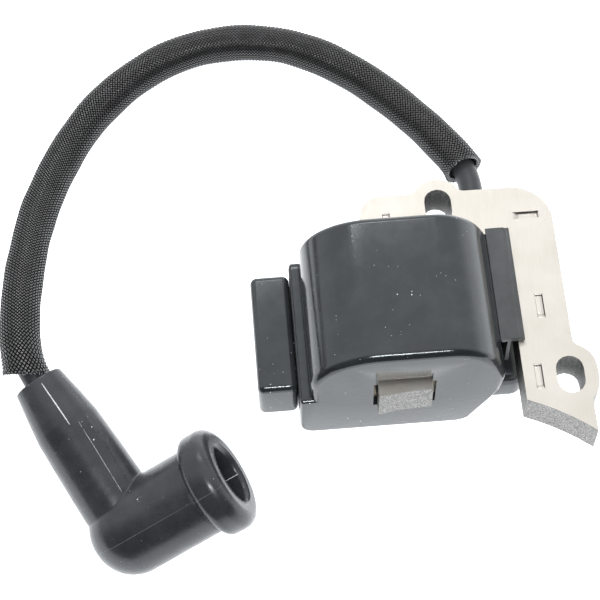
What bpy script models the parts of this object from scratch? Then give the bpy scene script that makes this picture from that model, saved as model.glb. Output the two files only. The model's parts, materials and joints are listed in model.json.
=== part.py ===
"""A small-engine ignition coil: a laminated U core, a potted coil case with its
windings, a side module with its electronics, and a sleeved high-tension lead
that ends in a rubber spark plug boot.

Units are metres, +Z is up. The origin is on the surface the coil lies on, under
the middle of the core and case. +Y runs along the core's legs away from the
flywheel, and +X runs across them, from the module to the bare leg.
"""

import math

import bmesh
import bpy
from mathutils import Matrix, Vector

MM = 0.001
GAP = 0.3 * MM  # clearance between pieces that touch

# Core: stamped sheets, U shaped, with a slot for an M5 screw at each end.
SHEETS = 16
SHEET_PITCH = 0.5 * MM
SHEET_GAP = 0.03 * MM
CORE_Z = 11.3 * MM
LEG_LEFT = (-9.8 * MM, 0.7 * MM)
LEG_RIGHT = (18.3 * MM, 28.8 * MM)
FOOT_X = 30.95 * MM
YOKE_INNER_Y = 15.4 * MM
YOKE_OUTER_Y = 25.9 * MM
YOKE_CORNER_LEFT = 4.4 * MM
YOKE_CORNER_RIGHT = 8.0 * MM
FLYWHEEL_CENTRE = (-0.6 * MM, -67.8 * MM)
POLE_RADIUS = 50.0 * MM
SLOT_RADIUS = 2.7 * MM
SLOT_TRAVEL = 2.5 * MM
SLOT_LOW = (27.4 * MM, -15.6 * MM)
SLOT_HIGH = (6.2 * MM, 23.9 * MM)
EYE_LOW_RADIUS = 5.4 * MM
EYE_HIGH_RADIUS = 5.1 * MM
EYE_FILLET = 1.5 * MM
INTERLOCK = (5.3 * MM, 1.55 * MM)
LEG_LEFT_X = sum(LEG_LEFT) / 2
CORE_TOP = CORE_Z + SHEETS * SHEET_PITCH
CORE_MID_Z = (CORE_Z + CORE_TOP) / 2

# Coil case: a D-shaped shell around the left leg, open below.
CASE_FRONT = -16.3 * MM
CASE_BACK = 15.0 * MM
CASE_WALL = 1.8 * MM
CASE_TOP = 30.6 * MM
CASE_EDGE = 1.3 * MM
CASE_LEFT = -25.0 * MM
CROWN_LEFT = -22.8 * MM
CROWN_RIGHT = 15.1 * MM
LEDGE_Z = 14.2 * MM
LEG_WINDOW = (12.1 * MM, 8.9 * MM)

# High-tension tower on the case's lower right, and the lead's straight run.
LEAD_X = 15.2 * MM
LEAD_Z = 5.5 * MM
TOWER_X = (10.6 * MM, 20.2 * MM)
TOWER_Y = (-12.6 * MM, 9.0 * MM)
TOWER_Z = (0.9 * MM, 9.7 * MM)
TOWER_ROUNDING = 2.6 * MM
TOWER_BORE = 2.9 * MM
SPIKE_Y = -8.0 * MM

# Side module.
BOX_X = (-32.9 * MM, -25.3 * MM)
BOX_Y = (-12.9 * MM, 12.9 * MM)
BOX_Z = (2.5 * MM, 13.6 * MM)
BOX_WALL = 1.2 * MM
PASSAGE_Y = (-6.0 * MM, 6.0 * MM)
PASSAGE_Z = (4.0 * MM, 10.0 * MM)

# Lead, sleeve and boot.
LEAD_RADIUS = 2.5 * MM
CONDUCTOR_RADIUS = 0.55 * MM
LEAD_BORE = 0.9 * MM
SLEEVE_RADIUS = 4.0 * MM
SLEEVE_WALL = 0.9 * MM
ELBOW = Vector((-58.3, -37.52, 8.85)) * MM
ARM = Vector((-0.496, 0.823, 0.276)).normalized()
BARREL = Vector((0.871, 0.275, 0.407)).normalized()
ARM_LENGTH = 34.0 * MM
ARM_PROFILE = [(4.95, 34.0), (5.6, 30.0), (6.25, 25.8), (6.55, 23.8), (6.85, 17.0), (7.15, 7.0), (7.15, 0.0)]
ARM_BORE = 2.85 * MM
BARREL_RADIUS = 8.6 * MM
HEEL_LENGTH = 8.5 * MM
HEEL_ROUNDING = 8.0 * MM
MOUTH_LENGTH = 22.2 * MM
LIP_LENGTH = 6.3 * MM
LIP_RADIUS = 10.4 * MM
MOUTH_RADIUS = 5.7 * MM
BARREL_BORE_DEPTH = 24.0 * MM

# The lead's centre line outside the tower and the boot, chosen by hand: straight
# back under the yoke, a wide loop on the surface, and a stiff rise to the boot.
LEAD_ROUTE = [
    (15.2, 12.0, 5.5), (15.2, 22.0, 5.2), (15.4, 31.0, 4.6), (14.4, 40.3, 4.2),
    (8.3, 50.4, 4.1), (0.5, 59.9, 4.1), (-7.2, 67.3, 4.1), (-14.7, 72.6, 4.1),
    (-22.2, 75.9, 4.1), (-29.9, 77.3, 4.1), (-37.7, 77.0, 4.1), (-45.6, 75.0, 4.1),
    (-52.8, 71.1, 4.1), (-59.1, 66.1, 4.1), (-64.6, 59.9, 4.3), (-69.2, 52.4, 4.9),
    (-72.8, 44.0, 6.3), (-75.5, 34.9, 8.7), (-77.1, 25.6, 11.7), (-78.1, 16.5, 14.5),
    (-78.6, 7.3, 17.0), (-78.4, -1.1, 18.6),
]
SLEEVE_START = 4  # the route point where the sleeve begins, counted with the tower's
POINTS_PER_SPAN = 2


def vec(point):
    return Vector(point) * MM


# Scene and materials ---------------------------------------------------------

for leftover in list(bpy.data.objects):
    bpy.data.objects.remove(leftover)

parts = bpy.data.collections.new("ignition_coil")
cutters = bpy.data.collections.new("cutters")
for collection in (parts, cutters):
    bpy.context.scene.collection.children.link(collection)


def material(name, colour, roughness, metallic=0.0):
    made = bpy.data.materials.new(name)
    made.use_nodes = True
    shader = made.node_tree.nodes["Principled BSDF"]
    shader.inputs["Base Color"].default_value = (*colour, 1.0)
    shader.inputs["Roughness"].default_value = roughness
    shader.inputs["Metallic"].default_value = metallic
    return made


STEEL = material("core_steel", (0.78, 0.76, 0.72), 0.35, 1.0)
CASE_PLASTIC = material("case_plastic", (0.02, 0.02, 0.022), 0.25)
MODULE_PLASTIC = material("module_plastic", (0.022, 0.022, 0.025), 0.3)
WEDGE_PLASTIC = material("wedge_plastic", (0.03, 0.03, 0.032), 0.45)
BOBBIN_PLASTIC = material("bobbin_plastic", (0.75, 0.7, 0.55), 0.5)
COPPER = material("copper_wire", (0.72, 0.33, 0.17), 0.3, 1.0)
RESIN = material("potting_resin", (0.05, 0.05, 0.045), 0.4)
BOARD = material("circuit_board", (0.03, 0.22, 0.09), 0.5)
FILM = material("capacitor_film", (0.55, 0.1, 0.06), 0.4)
CHIP = material("chip_plastic", (0.03, 0.03, 0.03), 0.6)
CERAMIC = material("resistor_body", (0.62, 0.5, 0.34), 0.5)
BRASS = material("brass", (0.8, 0.6, 0.3), 0.3, 1.0)
SPRING_STEEL = material("spring_steel", (0.6, 0.6, 0.6), 0.3, 1.0)
LEAD_RUBBER = material("lead_rubber", (0.035, 0.035, 0.037), 0.4)
BRAID = material("braid", (0.02, 0.02, 0.02), 0.55)
BOOT_RUBBER = material("boot_rubber", (0.025, 0.025, 0.027), 0.45)
SEAL_RUBBER = material("seal_rubber", (0.03, 0.03, 0.03), 0.6)


# Modelling helpers -----------------------------------------------------------

def add(name, data, finish=None, location=(0, 0, 0)):
    """A part in the parts collection."""
    made = bpy.data.objects.new(name, data)
    made.location = location
    parts.objects.link(made)
    if finish is not None:
        data.materials.clear()
        data.materials.append(finish)
    return made


def hide_as_cutter(made):
    for collection in list(made.users_collection):
        collection.objects.unlink(made)
    cutters.objects.link(made)
    made.hide_render = True
    made.display_type = "WIRE"
    return made


def arc(centre, radius, start, end, steps):
    """Points round a centre, angles in degrees."""
    points = []
    for step in range(steps + 1):
        angle = math.radians(start + (end - start) * step / steps)
        points.append((centre[0] + radius * math.cos(angle), centre[1] + radius * math.sin(angle)))
    return points


def ellipse_arc(centre, radii, start, end, steps):
    points = arc((0, 0), 1.0, start, end, steps)
    return [(centre[0] + radii[0] * x, centre[1] + radii[1] * y) for x, y in points]


def slot_outline(start, radius, travel, steps=8):
    """A slot from a start centre down to another one, anticlockwise."""
    low = (start[0], start[1] - travel)
    return arc(start, radius, 0, 180, steps) + arc(low, radius, 180, 360, steps)


def rectangle(centre, size):
    x, y = size[0] / 2, size[1] / 2
    return [(centre[0] + dx * x, centre[1] + dy * y) for dx, dy in ((-1, -1), (1, -1), (1, 1), (-1, 1))]


def flat_plate(name, outlines, thickness):
    """Curve data of a flat plate with holes, its middle at z = 0."""
    data = bpy.data.curves.new(name, "CURVE")
    data.dimensions = "2D"
    data.fill_mode = "BOTH"
    data.extrude = thickness / 2
    for outline in outlines:
        spline = data.splines.new("POLY")
        spline.points.add(len(outline) - 1)
        for point, (x, y) in zip(spline.points, outline):
            point.co = (x, y, 0, 1)
        spline.use_cyclic_u = True
    return data


def mesh_from(name, build):
    """Mesh data filled by a function that works on a bmesh."""
    data = bpy.data.meshes.new(name)
    shape = bmesh.new()
    build(shape)
    bmesh.ops.recalc_face_normals(shape, faces=shape.faces)
    shape.to_mesh(data)
    shape.free()
    return data


def block(name, x, y, z, finish=None, rounding=0.0, segments=2):
    """A box between two limits on each axis, with rounded edges if wanted."""
    size = Vector((x[1] - x[0], y[1] - y[0], z[1] - z[0]))
    centre = Vector((x[0] + x[1], y[0] + y[1], z[0] + z[1])) / 2

    def build(shape):
        bmesh.ops.create_cube(shape, size=1.0, matrix=Matrix.Diagonal(size).to_4x4())

    made = add(name, mesh_from(name, build), finish, centre)
    if rounding:
        edge = made.modifiers.new("rounding", "BEVEL")
        edge.width = rounding
        edge.segments = segments
        edge.limit_method = "ANGLE"
    return made


def rod(name, radius, start, end, finish=None, sides=24, end_radius=None):
    """A cylinder or cone between two points."""
    run = Vector(end) - Vector(start)
    tip = radius if end_radius is None else end_radius

    def build(shape):
        bmesh.ops.create_cone(
            shape, cap_ends=True, segments=sides, radius1=radius, radius2=tip, depth=run.length
        )

    made = add(name, mesh_from(name, build), finish, (Vector(start) + Vector(end)) / 2)
    made.rotation_mode = "QUATERNION"
    made.rotation_quaternion = run.to_track_quat("Z", "Y")
    made.data.shade_smooth()
    made.data.set_sharp_from_angle(angle=math.radians(40))
    return made


def boolean(target, other, operation):
    """Cuts or joins a mesh with another one, which becomes a cutter."""
    step = target.modifiers.new(other.name, "BOOLEAN")
    step.operation = operation
    step.solver = "EXACT"
    step.object = other
    hide_as_cutter(other)


def prism_along_y(name, outline, y, finish=None):
    """An outline in X and Z, extruded from one Y to another."""
    def build(shape):
        front = [shape.verts.new((px, y[0], pz)) for px, pz in outline]
        face = shape.faces.new(front)
        grown = bmesh.ops.extrude_face_region(shape, geom=[face])
        moved = [item for item in grown["geom"] if isinstance(item, bmesh.types.BMVert)]
        bmesh.ops.translate(shape, verts=moved, vec=(0, y[1] - y[0], 0))

    return add(name, mesh_from(name, build), finish)


def tube(name, points, radius, finish, sides_level=2, caps=True):
    """A round bar along a list of points."""
    data = bpy.data.curves.new(name, "CURVE")
    data.dimensions = "3D"
    data.bevel_depth = radius
    data.bevel_resolution = sides_level
    data.use_fill_caps = caps
    spline = data.splines.new("POLY")
    spline.points.add(len(points) - 1)
    for point, co in zip(spline.points, points):
        point.co = (*co, 1)
    return add(name, data, finish)


def screw_profile(name, profile, finish=None, steps=32):
    """A turned shape from (radius, height) points that run down its outer side."""
    data = bpy.data.meshes.new(name)
    data.from_pydata([(r, 0, h) for r, h in profile], [(i, i + 1) for i in range(len(profile) - 1)], [])
    made = add(name, data, finish)
    turn = made.modifiers.new("turn", "SCREW")
    turn.axis = "Z"
    turn.steps = turn.render_steps = steps
    turn.use_merge_vertices = True
    turn.merge_threshold = 0.00001
    turn.use_smooth_shade = True
    return made


def point_along(made, origin, direction):
    """Stands a shape turned round Z on an origin, with its Z along a direction."""
    made.location = origin
    made.rotation_mode = "QUATERNION"
    made.rotation_quaternion = Vector(direction).to_track_quat("Z", "Y")


def smooth_curve(points, per_span):
    """A Catmull-Rom curve through the points, sampled evenly in each span."""
    ends = [points[0] * 2 - points[1], *points, points[-1] * 2 - points[-2]]
    out = []
    for i in range(1, len(ends) - 2):
        a, b, c, d = ends[i - 1 : i + 3]
        for step in range(per_span):
            t = step / per_span
            out.append(
                0.5 * (2 * b + (c - a) * t + (2 * a - 5 * b + 4 * c - d) * t * t
                       + (3 * b - a - 3 * c + d) * t * t * t)
            )
    return [*out, points[-1]]


# Laminated core --------------------------------------------------------------

def pole_y(x):
    """The pole face's Y at an X, on the circle just outside the flywheel."""
    return FLYWHEEL_CENTRE[1] + math.sqrt(POLE_RADIUS ** 2 - (x - FLYWHEEL_CENTRE[0]) ** 2)


def pole_face(x_from, x_to, steps):
    xs = [x_from + (x_to - x_from) * step / steps for step in range(steps + 1)]
    return [(x, pole_y(x)) for x in xs]


def core_outline():
    """The sheet's outline, anticlockwise from the right pole's inner corner."""
    outline = pole_face(LEG_RIGHT[0], FOOT_X, 5)
    low = (SLOT_LOW[0], SLOT_LOW[1] - SLOT_TRAVEL)
    foot_angle = -math.degrees(math.acos((FOOT_X - low[0]) / EYE_LOW_RADIUS))
    outline += arc(low, EYE_LOW_RADIUS, foot_angle, 0, 4)
    reach = EYE_LOW_RADIUS + EYE_FILLET
    side = LEG_RIGHT[1] + EYE_FILLET - SLOT_LOW[0]
    turn = math.degrees(math.acos(side / reach))
    fillet = (LEG_RIGHT[1] + EYE_FILLET, SLOT_LOW[1] + reach * math.sin(math.radians(turn)))
    outline += arc(SLOT_LOW, EYE_LOW_RADIUS, 0, turn, 5)
    outline += arc(fillet, EYE_FILLET, 180 + turn, 180, 3)[1:]
    corner = (LEG_RIGHT[1] - YOKE_CORNER_RIGHT, YOKE_OUTER_Y - YOKE_CORNER_RIGHT)
    outline += arc(corner, YOKE_CORNER_RIGHT, 0, 90, 8)
    reach = EYE_HIGH_RADIUS + EYE_FILLET
    rise = YOKE_OUTER_Y + EYE_FILLET - SLOT_HIGH[1]
    turn = math.degrees(math.asin(rise / reach))
    run = reach * math.cos(math.radians(turn))
    outline += arc((SLOT_HIGH[0] + run, YOKE_OUTER_Y + EYE_FILLET), EYE_FILLET, 270, 180 + turn, 3)
    outline += arc(SLOT_HIGH, EYE_HIGH_RADIUS, turn, 180 - turn, 10)[1:-1]
    outline += arc((SLOT_HIGH[0] - run, YOKE_OUTER_Y + EYE_FILLET), EYE_FILLET, -turn, -90, 3)
    corner = (LEG_LEFT[0] + YOKE_CORNER_LEFT, YOKE_OUTER_Y - YOKE_CORNER_LEFT)
    outline += arc(corner, YOKE_CORNER_LEFT, 90, 180, 6)
    outline += pole_face(LEG_LEFT[0], LEG_LEFT[1], 4)
    outline += [(LEG_LEFT[1], YOKE_INNER_Y), (LEG_RIGHT[0], YOKE_INNER_Y)]
    return outline


def core_sheets():
    """The stack, numbered from the bottom. Only the top sheet's interlock punches show."""
    slots = [slot_outline(start, SLOT_RADIUS, SLOT_TRAVEL) for start in (SLOT_LOW, SLOT_HIGH)]
    across, along = INTERLOCK, INTERLOCK[::-1]
    right_x = sum(LEG_RIGHT) / 2
    punches = [
        rectangle((right_x, 19.2 * MM), across),
        rectangle((right_x, -1.6 * MM), along),
        rectangle((21.3 * MM, -16.8 * MM), along),
        rectangle((LEG_LEFT_X, 19.3 * MM), along),
    ]
    thickness = SHEET_PITCH - SHEET_GAP
    for number in range(1, SHEETS + 1):
        name = f"core_lamination_{number:02d}"
        outlines = [core_outline(), *slots, *(punches if number == SHEETS else [])]
        middle = CORE_Z + (number - 1) * SHEET_PITCH + thickness / 2
        add(name, flat_plate(name, outlines, thickness), STEEL, (0, 0, middle))


# Coil case -------------------------------------------------------------------

def case_outline(steps=8):
    """The case's outer section in X and Z, anticlockwise seen from the front."""
    corner = 3.0 * MM
    outline = [(6.3 * MM, 0)]
    outline += arc((CASE_LEFT + corner, corner), corner, 270, 180, 4)
    outline += [(CASE_LEFT, LEDGE_Z - 0.7 * MM), (CASE_LEFT + 0.7 * MM, LEDGE_Z), (CROWN_LEFT, LEDGE_Z)]
    outline += crown_outline(0, steps)
    outline += [(14.6 * MM, 13.2 * MM), (13.3 * MM, 10.2 * MM), (9.0 * MM, 1.6 * MM), (8.1 * MM, 0.4 * MM)]
    return outline[::-1]


def crown_outline(inset, steps):
    """The crown, from its left foot over the top to its right side."""
    left, right = (-9.0 * MM, 19.5 * MM), (3.5 * MM, 17.0 * MM)
    left_radii = (left[0] - CROWN_LEFT - inset, CASE_TOP - left[1] - inset)
    right_radii = (CROWN_RIGHT - right[0] - inset, CASE_TOP - right[1] - inset)
    return ellipse_arc(left, left_radii, 180, 90, steps) + ellipse_arc(right, right_radii, 90, 0, steps)


def cavity_outline(steps=8):
    """The inside of the case, which runs out through its open underside."""
    under = -1.0 * MM
    outline = [(5.0 * MM, under), (CROWN_LEFT + CASE_WALL, under)]
    outline += crown_outline(CASE_WALL, steps)
    outline += [(12.4 * MM, 12.4 * MM), (11.3 * MM, 10.2 * MM), (7.0 * MM, 1.6 * MM), (5.0 * MM, 0.6 * MM)]
    return outline[::-1]


def coil_case():
    """The shell with its tower, its window for the leg and its passages."""
    case = prism_along_y("coil_case", case_outline(), (CASE_FRONT, CASE_BACK), CASE_PLASTIC)
    rounding = case.modifiers.new("end_rounding", "BEVEL")
    rounding.width = CASE_EDGE
    rounding.segments = 2
    rounding.limit_method = "WEIGHT"
    weights = case.data.attributes.new("bevel_weight_edge", "FLOAT", "EDGE")
    for edge in case.data.edges:
        a, b = (case.data.vertices[i].co for i in edge.vertices)
        on_end = abs(a.y - b.y) < MM / 100
        height = (a.z + b.z) / 2
        weights.data[edge.index].value = 1.0 if on_end and height > 22 * MM else 0.0
    tower = block("tower_form", TOWER_X, TOWER_Y, TOWER_Z, None, TOWER_ROUNDING, 3)
    boolean(case, tower, "UNION")
    y_in = (CASE_FRONT + CASE_WALL, CASE_BACK - CASE_WALL)
    boolean(case, prism_along_y("case_cavity", cavity_outline(), y_in), "DIFFERENCE")
    half_x, half_z = LEG_WINDOW[0] / 2, LEG_WINDOW[1] / 2
    window = block(
        "leg_window", (LEG_LEFT_X - half_x, LEG_LEFT_X + half_x), (-30 * MM, 30 * MM),
        (CORE_MID_Z - half_z, CORE_MID_Z + half_z),
    )
    boolean(case, window, "DIFFERENCE")
    boolean(case, rod("lead_bore", TOWER_BORE, (LEAD_X, SPIKE_Y - 1 * MM, LEAD_Z),
                      (LEAD_X, TOWER_Y[1] + 1 * MM, LEAD_Z)), "DIFFERENCE")
    boolean(case, rod("spike_bore", 0.95 * MM, (2 * MM, SPIKE_Y, LEAD_Z),
                      (LEAD_X, SPIKE_Y, LEAD_Z), sides=12), "DIFFERENCE")
    boolean(case, block("case_passage", (CASE_LEFT - 1 * MM, CROWN_LEFT + CASE_WALL + 1 * MM),
                        PASSAGE_Y, PASSAGE_Z), "DIFFERENCE")
    boolean(case, pocket_form(), "DIFFERENCE")
    return case


def pocket_form():
    """The shallow ramp over the leg's tip, which deepens towards the leg."""
    clear, depth = 0.2 * MM, 1.2 * MM
    form = block("tip_pocket", LEG_LEFT, (CASE_FRONT - 2 * MM, CASE_FRONT - clear),
                 (CORE_TOP - 1 * MM, CORE_TOP + 5.2 * MM))
    for vertex in form.data.vertices:
        if vertex.co.y > 0 and vertex.co.z < 0:
            vertex.co.y += depth
    return form


def core_wedge():
    """The plastic wedge between the case and the bare leg, hooked over the leg and close to the crown."""
    top, lip, under = CORE_TOP + 1.5 * MM, CORE_TOP + 1.2 * MM, CORE_TOP + 0.2 * MM
    outline = [
        (14.95 * MM, under), (16.1 * MM, under), (16.1 * MM, 11.4 * MM), (17.0 * MM, 11.4 * MM),
        (17.0 * MM, under), (19.5 * MM, under), (19.5 * MM, lip), (18.6 * MM, lip),
        (18.4 * MM, top), (14.64 * MM, top),
    ]
    wedge = prism_along_y("core_wedge", outline, (-9.1 * MM, 15.9 * MM), WEDGE_PLASTIC)
    relief = block("yoke_relief", (15 * MM, 18 * MM), (YOKE_INNER_Y - GAP, 17 * MM), (11 * MM, under))
    boolean(wedge, relief, "DIFFERENCE")
    return wedge


def case_potting():
    """The resin that closes the case below the windings."""
    return block(
        "case_potting", (CROWN_LEFT + CASE_WALL + GAP, 4.6 * MM),
        (CASE_FRONT + CASE_WALL + GAP, CASE_BACK - CASE_WALL - GAP), (0.8 * MM, 2.8 * MM), RESIN,
    )


# Windings --------------------------------------------------------------------

def ring_around_leg(name, inner, outer, y, finish, rounding=0.0):
    """A rectangular ring around the left leg, given as sizes in X and Z."""
    ring = block(name, (LEG_LEFT_X - outer[0] / 2, LEG_LEFT_X + outer[0] / 2), y,
                 (CORE_MID_Z - outer[1] / 2, CORE_MID_Z + outer[1] / 2), finish, rounding)
    hole = block(name + "_hole", (LEG_LEFT_X - inner[0] / 2, LEG_LEFT_X + inner[0] / 2),
                 (y[0] - 2 * MM, y[1] + 2 * MM),
                 (CORE_MID_Z - inner[1] / 2, CORE_MID_Z + inner[1] / 2))
    boolean(ring, hole, "DIFFERENCE")
    return ring


def bobbin(name, inner, tube_outer, flange_outer, y, flange, finish):
    """A square spool: a tube around the leg with a flange at each end."""
    spool = block(name, (LEG_LEFT_X - tube_outer[0] / 2, LEG_LEFT_X + tube_outer[0] / 2), y,
                  (CORE_MID_Z - tube_outer[1] / 2, CORE_MID_Z + tube_outer[1] / 2), finish)
    for number, start in enumerate((y[0], y[1] - flange)):
        plate = block(f"{name}_flange_{number}",
                      (LEG_LEFT_X - flange_outer[0] / 2, LEG_LEFT_X + flange_outer[0] / 2),
                      (start, start + flange),
                      (CORE_MID_Z - flange_outer[1] / 2, CORE_MID_Z + flange_outer[1] / 2))
        boolean(spool, plate, "UNION")
    hole = block(name + "_hole", (LEG_LEFT_X - inner[0] / 2, LEG_LEFT_X + inner[0] / 2),
                 (y[0] - 2 * MM, y[1] + 2 * MM),
                 (CORE_MID_Z - inner[1] / 2, CORE_MID_Z + inner[1] / 2))
    boolean(spool, hole, "DIFFERENCE")
    return spool


def size(x, z):
    return (x * MM, z * MM)


def windings():
    y = (CASE_FRONT + CASE_WALL + 0.5 * MM, CASE_BACK - CASE_WALL - 0.5 * MM)
    flange = 0.9 * MM
    between = (y[0] + flange + GAP, y[1] - flange - GAP)
    bobbin("primary_bobbin", size(11.2, 8.7), size(12.6, 10.1), size(16.2, 13.7), y, flange, BOBBIN_PLASTIC)
    ring_around_leg("primary_winding", size(13.2, 10.7), size(16.0, 13.5), between, COPPER, 0.8 * MM)
    bobbin("secondary_bobbin", size(16.8, 14.3), size(18.2, 15.7), size(22.6, 22.6), y, flange, BOBBIN_PLASTIC)
    ring_around_leg("secondary_winding", size(18.8, 16.3), size(22.2, 22.2), between, COPPER, 2.0 * MM)


# Side module -----------------------------------------------------------------

def side_module():
    shell = block("module_case", BOX_X, BOX_Y, BOX_Z, MODULE_PLASTIC, 0.9 * MM)
    inside = ((BOX_X[0] + BOX_WALL, BOX_X[1] - BOX_WALL), (BOX_Y[0] + BOX_WALL, BOX_Y[1] - BOX_WALL))
    boolean(shell, block("module_cavity", *inside, (BOX_Z[0] - 1 * MM, BOX_Z[1] - BOX_WALL)), "DIFFERENCE")
    boolean(shell, block("module_passage", (BOX_X[1] - 2 * MM, BOX_X[1] + 1 * MM),
                         PASSAGE_Y, PASSAGE_Z), "DIFFERENCE")
    boolean(shell, block("terminal_slot", (-30.4 * MM, -26.8 * MM), (BOX_Y[1] - 3 * MM, BOX_Y[1] + 1 * MM),
                         (4.2 * MM, 5.6 * MM)), "DIFFERENCE")
    block("kill_terminal", (-30.0 * MM, -27.2 * MM), (9.8 * MM, 16.6 * MM), (4.6 * MM, 5.2 * MM), BRASS)
    block("module_potting", (inside[0][0] + GAP, inside[0][1] - GAP), (inside[1][0] + GAP, inside[1][1] - GAP),
          (2.8 * MM, 3.8 * MM), RESIN)
    board_x = (-31.2 * MM, -30.4 * MM)
    block("circuit_board", board_x, (-11.0 * MM, 9.4 * MM), (4.3 * MM, 12.0 * MM), BOARD)
    face = board_x[1] + GAP
    block("capacitor", (face, face + 2.9 * MM), (-10.4 * MM, -4.2 * MM), (4.6 * MM, 11.4 * MM), FILM, 0.5 * MM)
    block("power_transistor", (face, face + 2.2 * MM), (-3.4 * MM, 0.8 * MM), (6.6 * MM, 11.2 * MM), CHIP, 0.3 * MM)
    block("trigger_transistor", (face, face + 1.4 * MM), (1.6 * MM, 4.4 * MM), (8.8 * MM, 11.4 * MM), CHIP, 0.2 * MM)
    for number, height in enumerate((7.8, 10.2), 1):
        centre = (face + 0.8 * MM, height * MM)
        rod(f"resistor_{number}", 0.75 * MM, (centre[0], 5.2 * MM, centre[1]), (centre[0], 9.0 * MM, centre[1]),
            CERAMIC, 12)
    rod("diode", 0.7 * MM, (face + 0.8 * MM, -2.8 * MM, 5.2 * MM), (face + 0.8 * MM, 1.2 * MM, 5.2 * MM), CHIP, 12)


# High-tension lead -----------------------------------------------------------

def lead_points():
    """The whole centre line: from inside the tower to inside the boot's arm."""
    arm_end = ELBOW + ARM * ARM_LENGTH
    route = [Vector((LEAD_X, -6.6 * MM, LEAD_Z))]
    route += [vec(point) for point in LEAD_ROUTE]
    route += [arm_end + ARM * 2.6 * MM, arm_end - ARM * 8 * MM, arm_end - ARM * 16 * MM]
    return route


def high_tension_lead():
    route = lead_points()
    line = smooth_curve(route, POINTS_PER_SPAN)
    lead = tube("ht_lead", line, LEAD_RADIUS, LEAD_RUBBER, caps=False)
    wall = lead.modifiers.new("wall", "SOLIDIFY")
    wall.thickness = LEAD_RADIUS - LEAD_BORE
    wall.offset = -1
    tube("ht_conductor", [line[0].lerp(line[1], 0.6), *line[1:-1]], CONDUCTOR_RADIUS, COPPER)
    first = SLEEVE_START * POINTS_PER_SPAN
    last = len(line) - 1 - 2 * POINTS_PER_SPAN
    sleeve = tube("ht_sleeve", line[first : last + 1], SLEEVE_RADIUS, BRAID, caps=False)
    wall = sleeve.modifiers.new("wall", "SOLIDIFY")
    wall.thickness = SLEEVE_WALL
    wall.offset = -1
    spike = [(9.6 * MM, SPIKE_Y, LEAD_Z), (LEAD_X - 1 * MM, SPIKE_Y, LEAD_Z),
             (LEAD_X - 0.3 * MM, SPIKE_Y + 0.3 * MM, LEAD_Z), (LEAD_X, SPIKE_Y + 1 * MM, LEAD_Z),
             (LEAD_X, SPIKE_Y + 3.4 * MM, LEAD_Z)]
    tube("ht_spike", spike, 0.5 * MM, BRASS)
    seal = screw_profile("lead_seal", [
        (2.85 * MM, 5.4 * MM), (3.2 * MM, 5.4 * MM), (3.6 * MM, 0), (2.85 * MM, 0), (2.85 * MM, 5.4 * MM),
    ], SEAL_RUBBER, 24)
    point_along(seal, (LEAD_X, TOWER_Y[1] + GAP, LEAD_Z), (0, 1, 0))


# Plug boot -------------------------------------------------------------------

def plug_boot():
    """A rubber elbow: a barrel with a lip round its mouth, and an arm with a tapered neck."""
    lip_start = MOUTH_LENGTH - LIP_LENGTH
    profile = [(0, MOUTH_LENGTH), (LIP_RADIUS - 1.6 * MM, MOUTH_LENGTH)]
    profile += [(LIP_RADIUS - 0.45 * MM, MOUTH_LENGTH - 0.7 * MM), (LIP_RADIUS, MOUTH_LENGTH - 2.2 * MM)]
    profile += [(LIP_RADIUS, lip_start + 1.6 * MM), (LIP_RADIUS - 0.7 * MM, lip_start + 0.3 * MM)]
    profile += [(BARREL_RADIUS, lip_start)]
    centre = (BARREL_RADIUS - HEEL_ROUNDING, HEEL_ROUNDING - HEEL_LENGTH)
    profile += arc(centre, HEEL_ROUNDING, 0, -90, 8)
    profile.append((0, -HEEL_LENGTH))
    boot = screw_profile("plug_boot", profile, BOOT_RUBBER, 32)
    point_along(boot, ELBOW, BARREL)
    arm_profile = [(radius * MM, height * MM) for radius, height in ARM_PROFILE]
    arm = screw_profile("boot_arm_form", [(0, ARM_LENGTH), *arm_profile, (0, 0)], None, 32)
    point_along(arm, ELBOW, ARM)
    boolean(boot, arm, "UNION")
    boolean(boot, rod("mouth_bore", MOUTH_RADIUS, ELBOW + BARREL * (MOUTH_LENGTH - BARREL_BORE_DEPTH),
                      ELBOW + BARREL * (MOUTH_LENGTH + 2 * MM), None, 24), "DIFFERENCE")
    boolean(boot, rod("arm_bore", ARM_BORE, ELBOW, ELBOW + ARM * (ARM_LENGTH + 2 * MM), None, 24), "DIFFERENCE")
    return boot


def plug_spring():
    """The coiled wire clip in the barrel that snaps over the plug's terminal."""
    turns, per_turn, wire = 6, 12, 0.5 * MM
    length, start = 15.0 * MM, MOUTH_LENGTH - BARREL_BORE_DEPTH + 1.2 * MM
    across = BARREL.orthogonal().normalized()
    up = BARREL.cross(across)
    line = []
    for step in range(turns * per_turn + 1):
        share = step / (turns * per_turn)
        angle = share * turns * math.tau
        waist = (3.9 - 0.9 * math.sin(math.pi * share)) * MM
        line.append(ELBOW + BARREL * (start + length * share)
                    + (across * math.cos(angle) + up * math.sin(angle)) * waist)
    return tube("plug_spring", line, wire, SPRING_STEEL)


def lead_terminal():
    """The crimped brass ferrule on the lead's end, inside the boot's arm."""
    start = ELBOW + ARM * (ARM_LENGTH - 16.5 * MM)
    return rod("lead_terminal", 1.9 * MM, start, start - ARM * 7 * MM, BRASS, 16)


core_sheets()
coil_case()
core_wedge()
case_potting()
windings()
side_module()
high_tension_lead()
plug_boot()
plug_spring()
lead_terminal()
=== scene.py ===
"""The looks of a small-engine ignition coil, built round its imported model.

Units are metres, +Z is up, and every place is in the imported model's frame.
"""

import json
import math
import random

import bmesh
import bpy
import numpy as np
from mathutils import Matrix, Quaternion, Vector


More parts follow.
